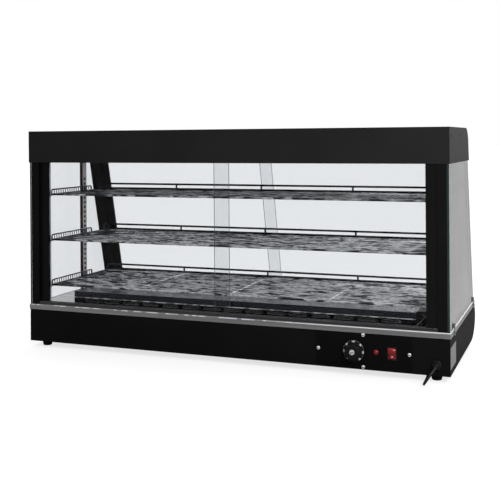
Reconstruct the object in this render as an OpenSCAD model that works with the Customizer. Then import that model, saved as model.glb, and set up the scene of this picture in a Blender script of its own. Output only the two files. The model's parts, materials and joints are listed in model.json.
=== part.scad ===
// Countertop hot food display case, millimetres.
// +Z up, -Y is the operator side with the controls, +X is to the operator's right.
// The origin is on the bench, under the middle of the case. Most modules below work in a frame whose
// Y is the depth behind the front face of the deck lip, and from_front() moves them into place.

/* [Case] */
// Width of the deck and of the canopy
case_w = 1200; // [1100:10:1300]
// Height of the whole case
case_h = 620; // [600:5:660]
// Thickness of the painted and stainless sheet
sheet = 1.2; // [0.8:0.1:1.5]
// Lean of the customer side, from upright
slope_deg = 14; // [12:0.5:15]
// Height of the rubber feet
foot_h = 16; // [12:1:20]

/* [Base] */
// Height from the base's floor to the top of the deck
base_h = 106; // [100:1:112]
// Height of the turned-down deck lip
lip_h = 14.5; // [10:0.5:18]
// Depth of the deck
deck_d = 474; // [468:1:480]
// Depth of the base at the fattest part of its bulged customer side
bulge_d = 500; // [495:1:510]

/* [Canopy] */
// Height of the canopy
canopy_h = 90; // [80:1:100]
// Radius of the canopy's curved top edge on the customer side
canopy_r = 50; // [40:1:60]
// How far the canopy stands out behind the sloped glass
canopy_overhang = 10.7; // [9:0.1:12]

/* [Doors] */
// Thickness of a sliding pane
pane_t = 4; // [3:0.5:4]
// Overlap of the two panes of a pair when they are closed
door_overlap = 40; // [30:1:50]
// Width of the edge profile that grips a pane
stile_w = 39; // [36:1:42]

/* [Shelves] */
// Height of the lowest shelf above the bench
first_shelf_z = 172; // [170:1:176]
// Height from one shelf to the next
shelf_pitch = 132; // [130:0.5:132]
// Distance between neighbouring shelf wires
wire_pitch = 12; // [10:1:16]
// Diameter of the fine shelf wires
wire_d = 2.5; // [2:0.5:3.5]
// Diameter of the shelf frame rods
rod_d = 6; // [4:0.5:6]

/* [Controls] */
// Diameter of the thermostat dial
dial_d = 56; // [50:1:60]
// Diameter of the dial's grip
grip_d = 40; // [34:1:44]
// How far the dial's cap stands out in front of the deck lip
dial_reach = 24; // [22:1:28]
// Tilt of the rocker to each side of level
rocker_tilt = 12; // [8:1:12]

/* [Cord] */
// Diameter of the mains lead
cord_d = 6; // [6:0.5:8]

/* [Hidden] */
$fn = 48;

half_w = case_w / 2;
front_y = -(bulge_d - dial_reach) / 2;   // Y of the front face of the deck lip
deck_z = foot_h + base_h;                // top of the deck
canopy_z = case_h - canopy_h;            // lower edge of the canopy
ceiling_z = canopy_z + 46;               // underside of the canopy's liner
lip_gap = 0.3;                           // between the lip and the base behind it
trim_gap = 0.2;                          // at the corner joints of the lip
shell_y = sheet + lip_gap;               // front face of the base, behind the lip
shell_x = half_w - sheet - lip_gap;      // side face of the base
slope_foot = deck_d - 12;                // depth of the sloped plane at the deck

// Bulged side of the base: a quarter ellipse up to the lip and one down to the floor
bulge_mid_z = foot_h + 60;
bulge_centre = 405;
bulge_reach = bulge_d - bulge_centre;
bulge_rise = 46;
bulge_drop = 60;
bulge_top = deck_d - shell_y;
bulge_turn = deck_z - lip_h - 0.3;       // where the upright top of the bulged side turns outward
bulge_start = asin((bulge_turn - 1.2 - bulge_mid_z) / bulge_rise);
bulge_steps = 20;
bottom_gap = 12;                         // the floor stops short of the front wall, for air

// Door planes, as depths inside the outer plane of either side
front_plane = 4.4;
plane_pitch = 7;
stile_skin = 1;
stile_inner = half_w - 20 - stile_w;     // inner edge of a closed door's stile
stile_outer = stile_inner + stile_w;
pane_grip = 12;
track_w = half_w - 33;
groove_x = stile_inner + 5;

post_x = half_w - 8;                     // outer face of the corner posts
post_inner = half_w - 40;
post_flange = half_w - 32;
front_post_d = 34;
rear_post_d = 40;
channel_back = 18.4;

glass_x = half_w - 7;                    // inner face of the fixed side panes
glass_t = 5;

pilaster_x = half_w - 37;                // face of the slotted uprights
pilaster_y = [front_post_d, 231];
pilaster_w = 22;
slot_w = 10;
slot_h = 7;
slot_pitch = shelf_pitch / 9;
slot_count = 22;
slot_low_z = first_shelf_z - 7.5;

shelf_x = 556;                           // centre of the outermost rods, at the default width
shelf_half = half_w - (600 - shelf_x);
shelf_front = 50;
shelf_rear = [368, 347, 316];            // depth of each shelf's rear edge, lowest first
guard_end = 270;
rail_rise = 19;
guard_rise = 14;
leg_x = [-shelf_half, -280, 0, 280, shelf_half];

panel_x = half_w - 216;                  // middle of the control panel
panel_w = 244;
panel_z = deck_z - lip_h - 45.5;         // height of the row of controls
dial_x = panel_x - 23;
lamp_x = panel_x + 33;
rocker_x = panel_x + 73;
gland_x = half_w - 33;
gland_z = foot_h + 27;
bezel_w = 25;
bezel_h = 33;
rocker_pivot = 3;                        // depth of the rocker's pivot
pivot_d = 4;

// Route of the mains lead from the tip of the strain relief to the coil: X, depth, height
cord_route = [
    [567, -24, 43], [567, -29, 43], [566, -38.2, 41.5], [563.1, -46, 37.1], [558.8, -51.2, 30.7],
    [553.7, -53, 23], [548.6, -51.2, 15.4], [544.3, -46, 8.9], [541.5, -38.2, 4.5], [540.5, -29, 3],
    [539.5, -12, 3], [538, 20, 3], [533, 80, 3], [526, 150, 3], [518, 220, 3], [509, 290, 3],
    [500, 360, 3], [491, 430, 3], [483, 490, 3], [478.5, 526, 3], [477, 556, 3]
];
// Route of the last stretch, from the top of the coil to the plug
tail_route = [
    [440, 593, 9], [430, 593.3, 9.6], [420, 594, 11], [410, 595, 13], [400, 596, 15.5], [392, 597, 17.4],
    [386, 597, 18]
];
ring_step = 16;
coil_x = 440;
coil_y = 556;
coil_in = 28;
coil_out = 40;
plug_x = 386;
plug_y = 597;
plug_z = 18;

module from_front() {
    translate([0, front_y, 0]) children();
}

// Frame of a glazed side: X across, Y the depth inside its outer plane, Z up the plane from the deck
module front_side() {
    translate([0, front_y, deck_z]) children();
}

module rear_side() {
    translate([0, front_y + slope_foot, deck_z]) rotate([slope_deg, 0, 0]) mirror([0, 1, 0]) children();
}

module block(x, y, z) {
    translate([x[0], y[0], z[0]]) cube([x[1] - x[0], y[1] - y[0], z[1] - z[0]]);
}

// Extrudes an outline drawn in depth and height along X
module across(x) {
    translate([x[0], 0, 0]) rotate([90, 0, 90]) linear_extrude(x[1] - x[0]) children();
}

module rod_x(x, y, z, d) {
    translate([x[0], y, z]) rotate([0, 90, 0]) cylinder(d = d, h = x[1] - x[0]);
}

module rod_y(x, y, z, d) {
    translate([x, y[0], z]) rotate([-90, 0, 0]) cylinder(d = d, h = y[1] - y[0]);
}

module rod_z(x, y, z, d) {
    translate([x, y, z[0]]) cylinder(d = d, h = z[1] - z[0]);
}

// The room between the deck and the ceiling, which cuts sloped pieces off level
module level_cut(low = deck_z, high = ceiling_z) {
    block([-half_w, half_w], [0, bulge_d], [low, high]);
}

// ---------- base ----------

function bulge(inset) = [
    for (i = [0:bulge_steps])
        let (t = bulge_start - i * (bulge_start + 90) / bulge_steps)
        [bulge_centre + (bulge_reach - inset) * cos(t),
         bulge_mid_z + ((t > 0 ? bulge_rise : bulge_drop) - inset) * sin(t)]
];

function reversed(list) = [for (i = [len(list) - 1:-1:0]) list[i]];

module base_side() {
    polygon(concat(
        [[shell_y, foot_h], [shell_y, deck_z - sheet], [bulge_top, deck_z - sheet], [bulge_top, bulge_turn]],
        bulge(0)
    ));
}

module base_shell() {
    color("#1d1d1f") from_front() difference() {
        union() {
            across([-shell_x, -shell_x + sheet]) base_side();
            across([shell_x - sheet, shell_x]) base_side();
            block([-shell_x, shell_x], [shell_y, shell_y + sheet], [foot_h, deck_z - sheet]);
        }
        block([panel_x - 108, panel_x + 108], [0, 5], [panel_z - 31, panel_z + 32]);
        for (p = panel_screw_points()) rod_y(p[0], [0, 5], p[1], 3.8);
        rod_y(gland_x, [0, 5], gland_z, 16.4);
        clip_holes();
    }
}

module base_fascia() {
    color("#1d1d1f") from_front() across([-shell_x + sheet, shell_x - sheet]) polygon(concat(
        [[bulge_top, deck_z - sheet], [bulge_top, bulge_turn]],
        bulge(0),
        reversed(bulge(sheet)),
        [[bulge_top - sheet, bulge_turn - 0.9], [bulge_top - sheet, deck_z - sheet]]
    ));
}

module base_bottom() {
    color("#232325") from_front() difference() {
        block([-shell_x + sheet, shell_x - sheet], [bottom_gap, bulge_centre], [foot_h, foot_h + sheet]);
        for (p = foot_points()) rod_z(p[0], p[1], [foot_h - 1, foot_h + 3], 4.4);
        for (x = [-300:100:300], y = [180, 200, 220]) {
            translate([x, y, foot_h - 1]) linear_extrude(4) slot_outline(60, 5);
        }
    }
}

// A slot with round ends, along X
module slot_outline(l, w) {
    square([l - w, w], center = true);
    for (s = [-1, 1]) translate([s * (l - w) / 2, 0]) circle(d = w);
}

module deck_pan() {
    color("#9a9da0") from_front() difference() {
        block([-half_w + sheet, half_w - sheet], [sheet, deck_d - sheet], [deck_z - sheet, deck_z]);
        for (y = element_rows(), s = [-1, 1]) {
            rod_z(element_end, y + s * element_half, [deck_z - 5, deck_z + 5], 10);
        }
        rod_z(bulb_line[1][0], bulb_line[1][1], [deck_z - 5, deck_z + 5], 4);
    }
}

// Four strips round the deck's edges, butted at the corners
module deck_trim() {
    high = [deck_z - lip_h, deck_z];
    color("#9a9da0") from_front() difference() {
        union() {
            for (y = [0, deck_d - sheet]) block([-half_w, half_w], [y, y + sheet], high);
            for (x = [-half_w, half_w - sheet]) {
                block([x, x + sheet], [sheet + trim_gap, deck_d - sheet - trim_gap], high);
            }
        }
        clip_holes();
    }
}

module clip_holes() {
    for (y = clip_depths()) rod_x([-half_w - 1, half_w + 1], y, deck_z - 9, 3.4);
}

function foot_points() = [
    for (s = [-1, 1], y = [32, 395]) [s * (half_w - 39), y]
];

module feet() {
    color("#161616") from_front() for (p = foot_points()) {
        translate([p[0], p[1], 0]) difference() {
            union() {
                cylinder(d1 = 22, d2 = 25, h = 2);
                translate([0, 0, 2]) cylinder(d1 = 25, d2 = 30, h = foot_h - 2);
            }
            translate([0, 0, -1]) cylinder(d = 4.4, h = foot_h + 2);
            translate([0, 0, -1]) cylinder(d = 10, h = 7);
        }
    }
}

module rating_label() {
    color("#b9babd") from_front() {
        block([shell_x, shell_x + 0.4], [4, 95], [foot_h + 16, foot_h + 68]);
    }
}

// ---------- controls ----------

function panel_screw_points() = [
    [panel_x - 116, panel_z], [panel_x + 116, panel_z], [panel_x, panel_z + 40.5], [panel_x, panel_z - 39]
];

module control_panel() {
    color("#0d0d0e") from_front() difference() {
        block([panel_x - panel_w / 2, panel_x + panel_w / 2], [lip_gap, shell_y],
              [foot_h + 0.5, deck_z - lip_h - 0.5]);
        rod_y(dial_x, [-1, 3], panel_z, 10);
        rod_y(lamp_x, [-1, 3], panel_z, 12);
        block([rocker_x - 11.4, rocker_x + 11.4], [-1, 3], [panel_z - 15.9, panel_z + 15.9]);
        for (p = panel_screw_points()) rod_y(p[0], [-1, 3], p[1], 4);
    }
}

module panel_screws() {
    color("#d8d8da") from_front() for (p = panel_screw_points()) {
        difference() {
            union() {
                rod_y(p[0], [-1.9, lip_gap], p[1], 9);
                rod_y(p[0], [lip_gap, 9], p[1], 3.5);
            }
            block([p[0] - 5, p[0] + 5], [-3, -1.1], [p[1] - 0.8, p[1] + 0.8]);
        }
    }
}

module thermostat_body() {
    color("#c9c6bd") from_front() difference() {
        union() {
            block([dial_x - 18, dial_x + 18], [shell_y, 40], [panel_z - 22, panel_z + 22]);
            for (s = [-1, 1]) block([dial_x + s * 8 - 4, dial_x + s * 8 + 4], [40, 46], [panel_z + 4, panel_z + 12]);
        }
        rod_y(dial_x, [0, 12], panel_z, 6.1);
    }
}

// Capillary and bulb of the thermostat: up through the deck beside the wiring cover
bulb_line = [[dial_x + 18, 36, panel_z + 20], [half_w - 92, 36, panel_z + 20], [half_w - 92, 36, deck_z + 3],
             [half_w - 49, 36, deck_z + 46], [half_w - 49, 36, deck_z + 66]];

module thermostat_bulb() {
    color("#b5b7ba") from_front() {
        wire_run(bulb_line, 2);
        rod_z(half_w - 49, 36, [deck_z + 66, deck_z + 140], 6);
    }
}

// A run of straight wires with round knees, a little thicker than the wires
module wire_run(points, d) {
    for (i = [0:len(points) - 2]) {
        span(points[i], points[i + 1], d);
        if (i > 0) translate(points[i]) sphere(d = d + 0.6);
    }
}

module span(a, b, d) {
    v = b - a;
    translate(a) rotate([0, acos(v[2] / norm(v)), atan2(v[1], v[0])]) cylinder(d = d, h = norm(v));
}

module dial_spindle() {
    color("#d5d6d8") from_front() {
        rod_y(dial_x, [-dial_reach + 2, 8], panel_z, 6);
    }
}

module dial_cap() {
    color("#1a1a1b") from_front() rod_y(dial_x, [-dial_reach, -dial_reach + 2], panel_z, 13);
}

module dial() {
    color("#141415") from_front() difference() {
        union() {
            rod_y(dial_x, [-6, -1], panel_z, dial_d);
            rod_y(dial_x, [-dial_reach + 2, -6], panel_z, grip_d);
        }
        rod_y(dial_x, [-dial_reach, 0], panel_z, 6);
    }
}

module indicator_lens() {
    color("#c41414") from_front() {
        rod_y(lamp_x, [-2.2, lip_gap], panel_z, 13.4);
        intersection() {
            translate([lamp_x, 3.4, panel_z]) sphere(d = 17.4);
            rod_y(lamp_x, [-8, -2.2], panel_z, 13.4);
        }
    }
}

module indicator_body() {
    color("#1b1b1b") from_front() {
        rod_y(lamp_x, [lip_gap, 26], panel_z, 11.8);
        rod_y(lamp_x, [shell_y, 5], panel_z, 16);
    }
}

module rocker_housing() {
    color("#101010") from_front() translate([rocker_x, 0, panel_z]) difference() {
        union() {
            block([-bezel_w / 2, bezel_w / 2], [-1.8, lip_gap], [-bezel_h / 2, bezel_h / 2]);
            block([-11.3, 11.3], [lip_gap, 26], [-15.8, 15.8]);
            for (s = [-1, 1]) block([s * 6 - 3, s * 6 + 3], [26, 32], [-0.5, 0.5]);
        }
        block([-10.2, 10.2], [-3, 22], [-15, 15]);
        rod_x([-12, 12], rocker_pivot, 0, pivot_d + 0.1);
    }
}

module rocker_button() {
    color("#c01818") from_front() translate([rocker_x, rocker_pivot, panel_z]) rotate([rocker_tilt, 0, 0]) {
        across([-9.8, 9.8]) polygon([
            [-6, 13.3], [-4.2, 7], [-3.6, 0], [-4.2, -7], [-6, -13.3],
            [-2, -14.3], [3, -10], [6, -3], [6, 3], [3, 10], [-2, 14.3]
        ]);
        rod_x([-11, 11], 0, 0, pivot_d);
    }
}

// ---------- wiring and mains lead ----------

block_x = [half_w - 110, half_w - 60];

module terminal_block() {
    color("#e6e2d6") from_front() difference() {
        block(block_x, [70, 90], [foot_h + sheet, foot_h + 22]);
        for (i = [0:3]) rod_z(block_x[0] + 7 + 12 * i, 80, [foot_h + 12, foot_h + 30], 5);
    }
}

module wiring_loom() {
    color("#7a3d1c") from_front() {
        wire_run([[gland_x, 8, gland_z], [gland_x, 40, gland_z - 8], [half_w - 67, 69, foot_h + 12]], 5);
        wire_run([[half_w - 103, 69, foot_h + 12], [half_w - 130, 45, foot_h + 14],
                  [rocker_x + 6, 33.5, panel_z]], 3);
        wire_run([[half_w - 91, 69, foot_h + 12], [dial_x + 60, 60, foot_h + 14],
                  [dial_x + 8, 47.5, panel_z + 8]], 3);
    }
}

relief_tip = 24;
relief_l = 21;

module cable_gland() {
    color("#121212") from_front() difference() {
        union() {
            translate([gland_x, -4, gland_z]) rotate([-90, 0, 0]) cylinder(d = 25, h = 4 + shell_y, $fn = 6);
            translate([gland_x, -8, gland_z]) rotate([-90, 0, 0]) cylinder(d1 = 17, d2 = 21, h = 4);
            rod_y(gland_x, [shell_y, 8], gland_z, 16);
            translate([gland_x, shell_y + sheet, gland_z]) rotate([-90, 0, 0]) {
                cylinder(d = 24, h = 3.5, $fn = 6);
            }
        }
        rod_y(gland_x, [-9, relief_l - relief_tip], gland_z, 13.4);
    }
}

module strain_relief() {
    color("#151515") from_front() translate([gland_x, -relief_tip, gland_z]) rotate([-90, 0, 0]) {
        cylinder(d1 = 8, d2 = 13, h = relief_l);
    }
}

// Smooth curve through the points of a route (Catmull-Rom)
function point_at(p, i) = p[min(max(i, 0), len(p) - 1)];
function curve_point(p, i, t) =
    let (a = point_at(p, i - 1), b = point_at(p, i), c = point_at(p, i + 1), d = point_at(p, i + 2))
    b + t * (c - a) / 2 + t * t * (2 * a - 5 * b + 4 * c - d) / 2 + t * t * t * (3 * b - a - 3 * c + d) / 2;
function route_curve(p) = concat(
    [for (i = [0:len(p) - 2])
        let (n = max(1, round(norm(p[i + 1] - p[i]) / ring_step)))
        for (k = [0:n - 1]) curve_point(p, i, k / n)],
    [p[len(p) - 1]]
);

// One closed tube swept along a path
module tube(path, d, sides = 8) {
    n = len(path);
    function unit(v) = v / norm(v);
    function along(i) = unit(path[min(i + 1, n - 1)] - path[max(i - 1, 0)]);
    rings = [
        for (i = [0:n - 1])
            let (t = along(i), u = unit(cross(t, [0.3, 0, 1])), w = cross(t, u))
            for (k = [0:sides - 1])
                path[i] + d / 2 * (cos(360 * k / sides) * u + sin(360 * k / sides) * w)
    ];
    walls = [
        for (i = [0:n - 2], k = [0:sides - 1])
            let (a = i * sides + k, b = i * sides + (k + 1) % sides)
            each [[a, a + sides, b], [b, a + sides, b + sides]]
    ];
    start_cap = [for (k = [0:sides - 1]) k];
    end_cap = [for (k = [sides - 1:-1:0]) (n - 1) * sides + k];
    polyhedron(points = rings, faces = concat(walls, [start_cap, end_cap]));
}

// The route's points are for the default width, so the lead keeps its distance from the right side
module power_cord() {
    color("#101011") from_front() translate([half_w - 600, 0, 0]) {
        tube(route_curve(cord_route), cord_d);
        tube(tail_route, cord_d);
    }
}

module cord_coil() {
    color("#101011") from_front() translate([half_w - 600 + coil_x, coil_y, 0]) {
        rotate_extrude() translate([coil_in, 0]) square([coil_out - coil_in, 2 * cord_d]);
    }
}

module plug_place() {
    from_front() translate([half_w - 600 + plug_x, plug_y, plug_z]) rotate([0, -90, 0]) children();
}

module plug_body() {
    color("#141415") plug_place() {
        cylinder(d1 = 9, d2 = 14, h = 36);
        translate([0, 0, 36]) cylinder(d1 = 22, d2 = 36, h = 8);
        translate([0, 0, 44]) cylinder(d = 36, h = 30);
    }
}

module plug_pins() {
    color("#d0b36a") plug_place() for (s = [-1, 1]) {
        translate([0, s * 9.5, 74]) cylinder(d = 4.8, h = 19);
    }
}

// ---------- heat and light ----------

element_half = 25;
element_end = half_w - 150;
element_z = deck_z + 12;
function element_rows() = [135, 255];

module heating_elements() {
    color("#5d5a55") from_front() for (y = element_rows()) {
        for (s = [-1, 1]) {
            rod_x([-element_end, element_end], y + s * element_half, element_z, 8);
            translate([element_end, y + s * element_half, element_z]) sphere(d = 8);
            rod_z(element_end, y + s * element_half, [deck_z - 25, element_z], 8);
        }
        translate([-element_end, y, element_z]) rotate([0, 0, 90]) {
            rotate_extrude(angle = 180) translate([element_half, 0]) circle(d = 8);
        }
        for (x = [-300, 0, 300]) {
            block([x - 2, x + 2], [y - 32, y + 32], [deck_z, element_z - 3.8]);
        }
    }
}

cover_x = [114 - half_w, half_w - 94];
cover_y = [58, 330];
cover_z = deck_z + 34;
cover_mid = (cover_x[0] + cover_x[1]) / 2;

module heater_cover() {
    color("#4a4c50") from_front() difference() {
        union() {
            block(cover_x, cover_y, [deck_z, cover_z]);
            block([cover_x[0] - 2.5, cover_x[1] + 2.5], [cover_y[0] - 2.5, cover_y[1] + 2.5],
                  [deck_z + 15.5, deck_z + 17]);
        }
        block([cover_x[0] + 1, cover_x[1] - 1], [cover_y[0] + 1, cover_y[1] - 1], [0, cover_z - 1]);
        for (i = [-7:7], y = [100:47:300]) {
            translate([cover_mid + i * 62, y, cover_z - 3]) linear_extrude(6) slot_outline(48, 7);
        }
        for (i = [-7:7]) {
            translate([cover_mid + i * 62, cover_y[0] + 3, deck_z + 8]) rotate([90, 0, 0]) {
                linear_extrude(6) slot_outline(48, 6);
            }
        }
    }
}

wiring_x = [half_w - 91, half_w - 39];
wiring_y = [40, 110];
wiring_h = 40;
wiring_r = 8;

module wiring_outline(inset) {
    difference() {
        translate([wiring_x[0] + inset, 0]) {
            square([wiring_x[1] - wiring_x[0] - 2 * inset, wiring_h - inset]);
        }
        translate([wiring_x[0] + inset - 1, wiring_h - wiring_r]) square([wiring_r - inset + 1, wiring_r + 1]);
    }
    translate([wiring_x[0] + wiring_r, wiring_h - wiring_r]) circle(r = wiring_r - inset);
}

module wiring_cover() {
    color("#0b0b0c") from_front() difference() {
        translate([0, wiring_y[1], deck_z]) rotate([90, 0, 0]) {
            linear_extrude(wiring_y[1] - wiring_y[0]) wiring_outline(0);
        }
        translate([0, wiring_y[1] - sheet, deck_z - 0.01]) rotate([90, 0, 0]) {
            linear_extrude(wiring_y[1] - wiring_y[0] - 2 * sheet) wiring_outline(sheet);
        }
        for (p = wiring_screw_points()) rod_y(p[0], [30, 50], p[1], 3.4);
    }
}

function wiring_screw_points() = [[half_w - 72, deck_z + 31], [half_w - 79, deck_z + 10]];

tube_half = 424.5;
tube_z = canopy_z + 26;
tube_y = 70;

module lamp_tube() {
    color("#f4f4ee") from_front() {
        rod_x([-tube_half, tube_half], tube_y, tube_z, 16);
    }
}

module lamp_holders() {
    color("#e9e9e6") from_front() for (s = [0, 1]) mirror([s, 0, 0]) {
        block([tube_half, tube_half + 12], [tube_y - 11, tube_y + 11], [tube_z - 11, ceiling_z]);
        block([tube_half + 12, tube_half + 30], [tube_y - 11, tube_y + 11], [ceiling_z - 3, ceiling_z]);
    }
}

// ---------- frame and glass ----------

module post_outline(depth) {
    difference() {
        union() {
            translate([post_inner, channel_back]) square([post_x - post_inner, depth - channel_back]);
            translate([post_flange, shell_y]) square([post_x - post_flange, channel_back - shell_y]);
        }
        translate([post_inner + sheet, channel_back + sheet]) {
            square([post_x - post_inner - 2 * sheet, depth - channel_back - 2 * sheet]);
        }
        translate([post_flange - 1, shell_y + sheet]) {
            square([post_x - post_flange - sheet + 1, channel_back - shell_y - sheet]);
        }
    }
}

module front_post() {
    front_side() linear_extrude(ceiling_z - deck_z) post_outline(front_post_d);
}

module rear_post() {
    intersection() {
        rear_side() translate([0, 0, -20]) linear_extrude(540) post_outline(rear_post_d);
        from_front() level_cut();
    }
}

module on_left() {
    mirror([1, 0, 0]) children();
}

module post_front_left() {
    color("#1a1a1c") on_left() front_post();
}

module post_front_right() {
    color("#1a1a1c") front_post();
}

module post_rear_left() {
    color("#1a1a1c") on_left() rear_post();
}

module post_rear_right() {
    color("#1a1a1c") rear_post();
}

function slope_depth(z) = slope_foot - (z - deck_z) * tan(slope_deg);

module side_glass() {
    top = ceiling_z - 14;
    from_front() across([glass_x, glass_x + glass_t]) polygon([
        [2.5, deck_z], [slope_depth(deck_z) - 1.5, deck_z], [slope_depth(top) - 1.5, top], [2.5, top]
    ]);
}

module side_glass_left() {
    color([0.75, 0.88, 0.87, 0.4]) on_left() side_glass();
}

module side_glass_right() {
    color([0.75, 0.88, 0.87, 0.4]) side_glass();
}

function clip_depths() = [66, slope_foot - 14];

module glass_clips() {
    color("#6f7173") for (s = [0, 1]) mirror([s, 0, 0]) from_front() for (y = clip_depths()) {
        block([half_w, half_w + 1.5], [y - 6, y + 6], [deck_z - 18, deck_z + 13]);
        block([glass_x + glass_t, half_w], [y - 6, y + 6], [deck_z + 2, deck_z + 12]);
        rod_x([half_w + 1.5, half_w + 3.4], y, deck_z - 9, 7.5);
        rod_x([half_w - 8, half_w + 1.5], y, deck_z - 9, 3);
    }
}

// Double track: floor, two outer walls and a middle wall
track_wall = 1.2;
track_y = [front_plane - 2.2, front_plane + plane_pitch + pane_t + 2.2];
track_mid = front_plane + (plane_pitch + pane_t) / 2;

module track_outline(low, floor_s, top) {
    difference() {
        translate([track_y[0], low]) square([track_y[1] - track_y[0], top - low]);
        translate([track_y[0] + track_wall, floor_s]) {
            square([track_mid - 0.3 - track_y[0] - track_wall, top]);
        }
        translate([track_mid + 0.3, floor_s]) {
            square([track_y[1] - track_wall - track_mid - 0.3, top]);
        }
    }
}

front_floor = 1.5;
front_wall_top = 8.5;
rear_floor = 6.3;
rear_wall_top = 11.5;
front_head = [canopy_z - deck_z + 4, canopy_z - deck_z + 22];
rear_head = [(canopy_z - deck_z) / cos(slope_deg) + 5, (canopy_z - deck_z) / cos(slope_deg) + 23];

module track_front_lower() {
    color("#5c5e60") front_side() across([-track_w, track_w]) track_outline(0, front_floor, front_wall_top);
}

module track_rear_lower() {
    color("#5c5e60") intersection() {
        rear_side() across([-track_w, track_w]) track_outline(-4, rear_floor, rear_wall_top);
        from_front() level_cut();
    }
}

// An upper track is the same outline turned over, with a lug at each end that meets a post
module head_track(span_s) {
    translate([0, 0, span_s[1]]) mirror([0, 0, 1]) {
        across([-track_w, track_w]) track_outline(0, 1.5, span_s[1] - span_s[0]);
    }
    for (s = [0, 1]) mirror([s, 0, 0]) block([post_inner, track_w], [track_y[1], channel_back], span_s);
}

module track_front_upper() {
    color("#5c5e60") front_side() head_track(front_head);
}

module track_rear_upper() {
    color("#5c5e60") rear_side() head_track(rear_head);
}

// ---------- doors ----------

// A door of the right-hand half: plane 0 is the outer track, plane 1 the inner one
module pane(plane, low, high) {
    y = front_plane + plane * plane_pitch;
    block([-door_overlap / 2, stile_inner + pane_grip], [y, y + pane_t], [low, high]);
}

module stile(plane, low, high) {
    y = front_plane + plane * plane_pitch;
    difference() {
        block([stile_inner, stile_outer], [y - stile_skin, y + pane_t + stile_skin], [low, high]);
        block([0, stile_inner + pane_grip], [y, y + pane_t], [low - 1, high + 1]);
        translate([groove_x, y - stile_skin + 0.7, (low + high) / 2]) rotate([90, 90, 0]) {
            linear_extrude(2) slot_outline(high - low - 34, 3.6);
        }
    }
}

front_pane_s = [front_floor + 0.5, front_head[1] - 6];
rear_pane_s = [rear_floor + 0.5, rear_head[1] - 6];
front_stile_s = [front_wall_top + 0.7, front_head[0] - 1];
rear_stile_s = [rear_wall_top + 0.7, rear_head[0] - 1];
glass_tint = [0.8, 0.9, 0.9, 0.3];

module door_front_left() {
    color(glass_tint) on_left() front_side() pane(1, front_pane_s[0], front_pane_s[1]);
}

module door_front_right() {
    color(glass_tint) front_side() pane(0, front_pane_s[0], front_pane_s[1]);
}

module door_rear_left() {
    color(glass_tint) on_left() rear_side() pane(1, rear_pane_s[0], rear_pane_s[1]);
}

module door_rear_right() {
    color(glass_tint) rear_side() pane(0, rear_pane_s[0], rear_pane_s[1]);
}

module stile_front_left() {
    color("#161617") on_left() front_side() stile(1, front_stile_s[0], front_stile_s[1]);
}

module stile_front_right() {
    color("#161617") front_side() stile(0, front_stile_s[0], front_stile_s[1]);
}

module stile_rear_left() {
    color("#161617") on_left() rear_side() stile(1, rear_stile_s[0], rear_stile_s[1]);
}

module stile_rear_right() {
    color("#161617") rear_side() stile(0, rear_stile_s[0], rear_stile_s[1]);
}

// ---------- shelves ----------

module pilaster(depth) {
    from_front() translate([pilaster_x, depth, deck_z]) difference() {
        linear_extrude(ceiling_z - deck_z) difference() {
            square([10, pilaster_w]);
            translate([sheet, sheet]) square([10, pilaster_w - 2 * sheet]);
        }
        for (i = [0:slot_count - 1]) {
            translate([-1, (pilaster_w - slot_w) / 2, slot_low_z - deck_z + slot_pitch * i - slot_h / 2]) {
                cube([4, slot_w, slot_h]);
            }
        }
    }
}

module pilasters_front() {
    color("#a9abad") for (s = [0, 1]) mirror([s, 0, 0]) pilaster(pilaster_y[0]);
}

module pilasters_rear() {
    color("#a9abad") for (s = [0, 1]) mirror([s, 0, 0]) pilaster(pilaster_y[1]);
}

function shelf_z(i) = first_shelf_z + i * shelf_pitch;

module shelf_clips() {
    color("#c3c5c7") for (s = [0, 1]) mirror([s, 0, 0]) from_front() {
        for (i = [0:2], y = pilaster_y) {
            z = shelf_z(i);
            mid = y + pilaster_w / 2;
            block([pilaster_x - 1.2, pilaster_x], [mid - 6, mid + 6], [z - 4, z + 12]);
            block([shelf_half - 5, pilaster_x - 1.2], [mid - 6, mid + 6], [z - 4, z - 2]);
            block([pilaster_x, pilaster_x + 2.6], [mid - 4.4, mid + 4.4], [z + 4, z + 10]);
        }
    }
}

// Flat mesh of fine wires along X with frame rods round it and across it
module shelf_mesh(rear) {
    rods = leg_x;
    wires = floor((rear - shelf_front - rod_d) / wire_pitch);
    difference() {
        translate([-shelf_half - rod_d / 2, shelf_front - rod_d / 2]) {
            square([2 * shelf_half + rod_d, rear - shelf_front + rod_d]);
        }
        for (k = [0:len(rods) - 2], j = [0:wires]) {
            y0 = shelf_front + j * wire_pitch + (j == 0 ? rod_d : wire_d) / 2;
            y1 = j == wires ? rear - rod_d / 2 : shelf_front + (j + 1) * wire_pitch - wire_d / 2;
            translate([rods[k] + rod_d / 2, y0]) square([rods[k + 1] - rods[k] - rod_d, y1 - y0]);
        }
    }
}

module shelf(i) {
    rear = shelf_rear[i];
    color("#b4b6ba") from_front() translate([0, 0, shelf_z(i)]) {
        translate([0, 0, -2]) linear_extrude(4) shelf_mesh(rear);
        block([-shelf_half, shelf_half], [rear - 2, rear + 2], [-2, 8]);
        rod_x([-shelf_half, shelf_half], rear, rail_rise, rod_d);
        for (x = leg_x) rod_z(x, rear, [0, rail_rise], rod_d);
        for (s = [-1, 1]) {
            translate([s * shelf_half, rear, rail_rise]) sphere(d = rod_d);
            rod_y(s * shelf_half, [shelf_front, guard_end], guard_rise, 4);
            for (y = [shelf_front, guard_end]) {
                rod_z(s * shelf_half, y, [0, guard_rise], 4);
                translate([s * shelf_half, y, guard_rise]) sphere(d = 4);
            }
        }
    }
}

module shelf_bottom() {
    shelf(0);
}

module shelf_middle() {
    shelf(1);
}

module shelf_top() {
    shelf(2);
}

// ---------- canopy ----------

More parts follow.
